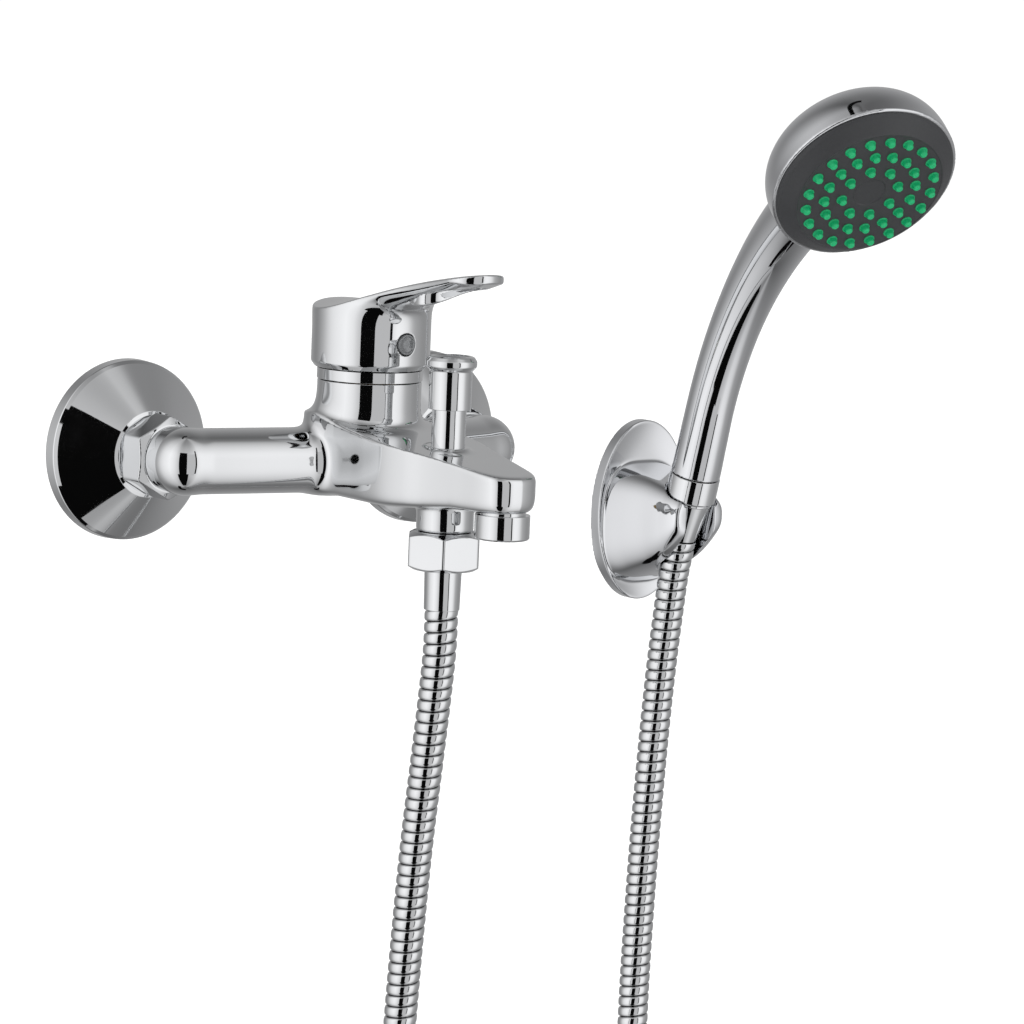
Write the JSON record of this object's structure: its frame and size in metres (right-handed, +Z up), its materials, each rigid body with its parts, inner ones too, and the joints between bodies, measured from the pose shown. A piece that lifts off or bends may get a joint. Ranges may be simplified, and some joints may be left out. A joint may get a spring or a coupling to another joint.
{
  "type": "wall mounted bath faucet",
  "caption": "Wall mounted two-inlet bath mixer with a single lever, short spout, pull-up diverter, metal hose and a round handset in a wall holder.",
  "frame": {"origin": "on the wall plane, midway between the two inlets", "axes": "+Y into the wall, -Y into the room, +X to the right along the wall, +Z up"},
  "size_m": [0.3358, 0.2048, 0.7681],
  "materials": {
    "chromed_brass": "polished chrome plate on brass and zinc",
    "chromed_plastic": "bright chrome plate on ABS",
    "brass": "machined",
    "steel": "turned stainless steel",
    "hose_metal": "chromed double interlock strip",
    "ceramic": "lapped alumina",
    "white_plastic": "moulded",
    "grey_plastic": "fine moulded satin",
    "green_silicone": "moulded silicone",
    "rubber": "moulded EPDM",
    "fibre": "pressed fibre"
  },
  "bodies": {
    "mixer": {"mixer_body": "chromed_brass", "escutcheon_left": "chromed_brass", "escutcheon_right": "chromed_brass", "union_nut_left": "chromed_brass", "union_nut_right": "chromed_brass", "trim_ring": "chromed_brass", "diverter_sleeve": "chromed_brass", "aerator_housing": "chromed_brass", "hose_nut": "chromed_brass", "hose_ferrule": "chromed_brass", "bracket_holder": "chromed_plastic", "s_union_left": "brass", "s_union_right": "brass", "cartridge_nut": "brass", "outlet_nipple": "brass", "hose_tail_mixer": "brass", "bracket_screw_upper": "steel", "bracket_screw_lower": "steel", "shower_hose": "hose_metal", "fixed_disc": "ceramic", "cartridge_base": "white_plastic", "cartridge_body": "white_plastic", "aerator_insert": "white_plastic", "bracket_base": "white_plastic", "wall_plug_upper": "white_plastic", "wall_plug_lower": "white_plastic", "cartridge_gasket": "rubber", "aerator_washer": "rubber", "outlet_washer": "rubber", "union_washer_left": "fibre", "union_washer_right": "fibre"},
    "lever_rotor": {"cartridge_rotor": "white_plastic", "rotor_pin": "steel"},
    "disc_slider": {"moving_disc": "ceramic", "disc_carrier": "white_plastic"},
    "lever": {"handle": "chromed_brass", "cartridge_stem": "brass", "handle_screw": "steel", "index_plug": "grey_plastic"},
    "diverter": {"diverter_knob": "chromed_brass", "diverter_stem": "brass", "diverter_valve": "brass", "diverter_seal": "rubber", "diverter_spring": "steel"},
    "hose_end": {"cone_nut": "chromed_brass", "hose_tail_handset": "brass", "cone_washer": "rubber"},
    "handset": {"handset_shell": "chromed_plastic", "thread_insert": "white_plastic", "water_tube": "white_plastic", "face_plate": "grey_plastic", "nozzle_mat": "green_silicone", "diffuser_plate": "white_plastic", "face_seal": "rubber"}
  },
  "joints": [
    {"name": "lever_turn", "type": "hinge", "parent": "mixer", "child": "lever_rotor", "pos_m": [0, -0.0656, 0.03], "axis": [0, 0, 1], "range_deg": [-45, 45]},
    {"name": "lever_lift", "type": "hinge", "parent": "lever_rotor", "child": "lever", "pos_m": [0, -0.0656, 0.03], "axis": [-1, 0, 0], "range_deg": [0, 20]},
    {"name": "disc_slide", "type": "slide", "parent": "lever_rotor", "child": "disc_slider", "axis": [0, -1, 0], "range_m": [0, 0.0034]},
    {"name": "diverter_pull", "type": "slide", "parent": "mixer", "child": "diverter", "axis": [0, 0, 1], "range_m": [0, 0.007], "stiffness_N_per_m": 250, "springref_m": -0.004, "deforming": ["diverter_spring"]},
    {"name": "handset_lift", "type": "slide", "parent": "mixer", "child": "hose_end", "axis": [0, -0.2487, 0.9686], "range_m": [0, 0.03]},
    {"name": "handset_turn", "type": "hinge", "parent": "hose_end", "child": "handset", "pos_m": [0.1984, -0.0408, -0.0146], "axis": [0, -0.2487, 0.9686], "range_deg": [-60, 60]}
  ],
  "couplings": [
    {"joint": "disc_slide", "follows": "lever_lift", "m_per_rad": 0.0095}
  ]
}
